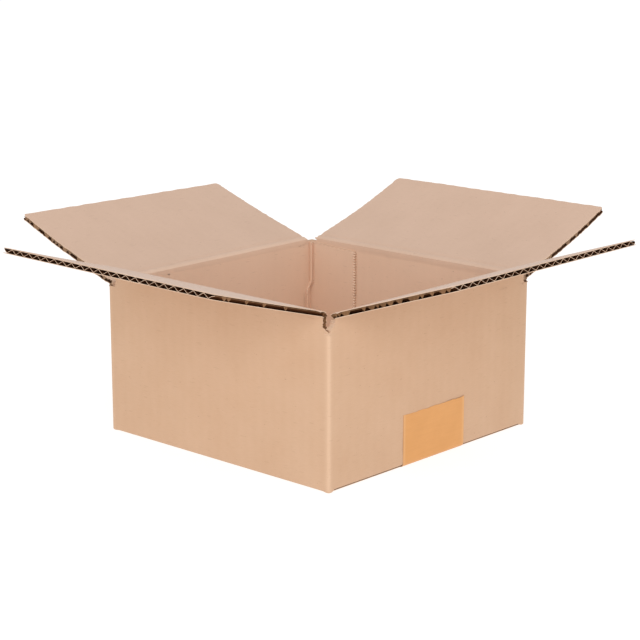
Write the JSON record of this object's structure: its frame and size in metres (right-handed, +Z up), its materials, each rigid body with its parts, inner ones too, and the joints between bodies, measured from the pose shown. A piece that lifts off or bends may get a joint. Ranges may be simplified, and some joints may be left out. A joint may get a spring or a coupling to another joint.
{
  "type": "open cardboard box",
  "caption": "Small square corrugated cardboard box with taped bottom flaps and hinged top flaps standing open.",
  "frame": {"origin": "centre of the box's underside, on the table", "axes": "+Z up, +X towards the right wall, which carries an outer flap, -Y towards the front wall, which shows the tape's end"},
  "size_m": [0.3006, 0.2986, 0.1114],
  "materials": {
    "board": "matt brown kraft liner",
    "tape": "satin orange-tan packing tape"
  },
  "bodies": {
    "box": {"box_body": "board", "bottom_tape": "tape"},
    "left_flap": {"left_flap": "board"},
    "right_flap": {"right_flap": "board"},
    "front_flap": {"front_flap": "board"},
    "back_flap": {"back_flap": "board"}
  },
  "joints": [
    {"name": "left_flap_crease", "type": "hinge", "parent": "box", "child": "left_flap", "pos_m": [-0.0778, 0, 0.0841], "axis": [0, 1, 0], "range_deg": [-99, 163]},
    {"name": "right_flap_crease", "type": "hinge", "parent": "box", "child": "right_flap", "pos_m": [0.0778, 0, 0.0841], "axis": [0, -1, 0], "range_deg": [-99, 163]},
    {"name": "front_flap_crease", "type": "hinge", "parent": "box", "child": "front_flap", "pos_m": [0, -0.0778, 0.081], "axis": [-1, 0, 0], "range_deg": [-103.5, 158.5]},
    {"name": "back_flap_crease", "type": "hinge", "parent": "box", "child": "back_flap", "pos_m": [0, 0.0778, 0.081], "axis": [1, 0, 0], "range_deg": [-99, 163]}
  ]
}
